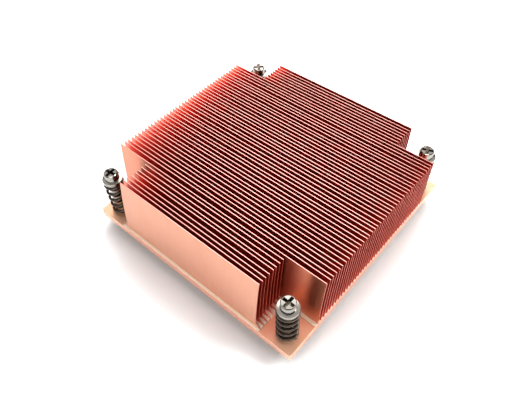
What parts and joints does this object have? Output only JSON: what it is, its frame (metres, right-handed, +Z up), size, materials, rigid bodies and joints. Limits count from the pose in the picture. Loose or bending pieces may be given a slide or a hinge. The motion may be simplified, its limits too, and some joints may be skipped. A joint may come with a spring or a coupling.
{
  "type": "passive server CPU heatsink",
  "caption": "Square skived copper heatsink for a low server: thin upright fins on a flat base plate, with a captive spring screw in each notched corner.",
  "frame": {"origin": "centre of the underside of the base plate, the face that meets the processor", "axes": "+Z up, away from the processor; X along the fins and the air flow; -Y towards the bare front ledge"},
  "size_m": [0.0914, 0.0914, 0.03],
  "materials": {
    "copper": "bare milled and skived copper",
    "screw_steel": "nickel-plated steel",
    "spring_steel": "nickel-plated spring wire",
    "clip_steel": "oiled spring steel sheet"
  },
  "bodies": {
    "root": {"heatsink_body": "copper", "spring_front_left": "spring_steel", "spring_front_right": "spring_steel", "spring_back_right": "spring_steel", "spring_back_left": "spring_steel"},
    "clip_front_left": {"retaining_clip_front_left": "clip_steel"},
    "screw_front_left": {"captive_screw_front_left": "screw_steel"},
    "clip_front_right": {"retaining_clip_front_right": "clip_steel"},
    "screw_front_right": {"captive_screw_front_right": "screw_steel"},
    "clip_back_right": {"retaining_clip_back_right": "clip_steel"},
    "screw_back_right": {"captive_screw_back_right": "screw_steel"},
    "clip_back_left": {"retaining_clip_back_left": "clip_steel"},
    "screw_back_left": {"captive_screw_back_left": "screw_steel"}
  },
  "joints": [
    {"name": "screw_press_front_left", "type": "slide", "parent": "root", "child": "clip_front_left", "axis": [0, 0, -1], "range_m": [0, 0.005], "stiffness_N_per_m": 800, "deforming": ["spring_front_left"]},
    {"name": "screw_turn_front_left", "type": "hinge", "parent": "clip_front_left", "child": "screw_front_left", "pos_m": [-0.04, -0.04, 0], "axis": [0, 0, 1], "continuous": true},
    {"name": "screw_press_front_right", "type": "slide", "parent": "root", "child": "clip_front_right", "axis": [0, 0, -1], "range_m": [0, 0.005], "stiffness_N_per_m": 800, "deforming": ["spring_front_right"]},
    {"name": "screw_turn_front_right", "type": "hinge", "parent": "clip_front_right", "child": "screw_front_right", "pos_m": [0.04, -0.04, 0], "axis": [0, 0, 1], "continuous": true},
    {"name": "screw_press_back_right", "type": "slide", "parent": "root", "child": "clip_back_right", "axis": [0, 0, -1], "range_m": [0, 0.005], "stiffness_N_per_m": 800, "deforming": ["spring_back_right"]},
    {"name": "screw_turn_back_right", "type": "hinge", "parent": "clip_back_right", "child": "screw_back_right", "pos_m": [0.04, 0.04, 0], "axis": [0, 0, 1], "continuous": true},
    {"name": "screw_press_back_left", "type": "slide", "parent": "root", "child": "clip_back_left", "axis": [0, 0, -1], "range_m": [0, 0.005], "stiffness_N_per_m": 800, "deforming": ["spring_back_left"]},
    {"name": "screw_turn_back_left", "type": "hinge", "parent": "clip_back_left", "child": "screw_back_left", "pos_m": [-0.04, 0.04, 0], "axis": [0, 0, 1], "continuous": true}
  ]
}
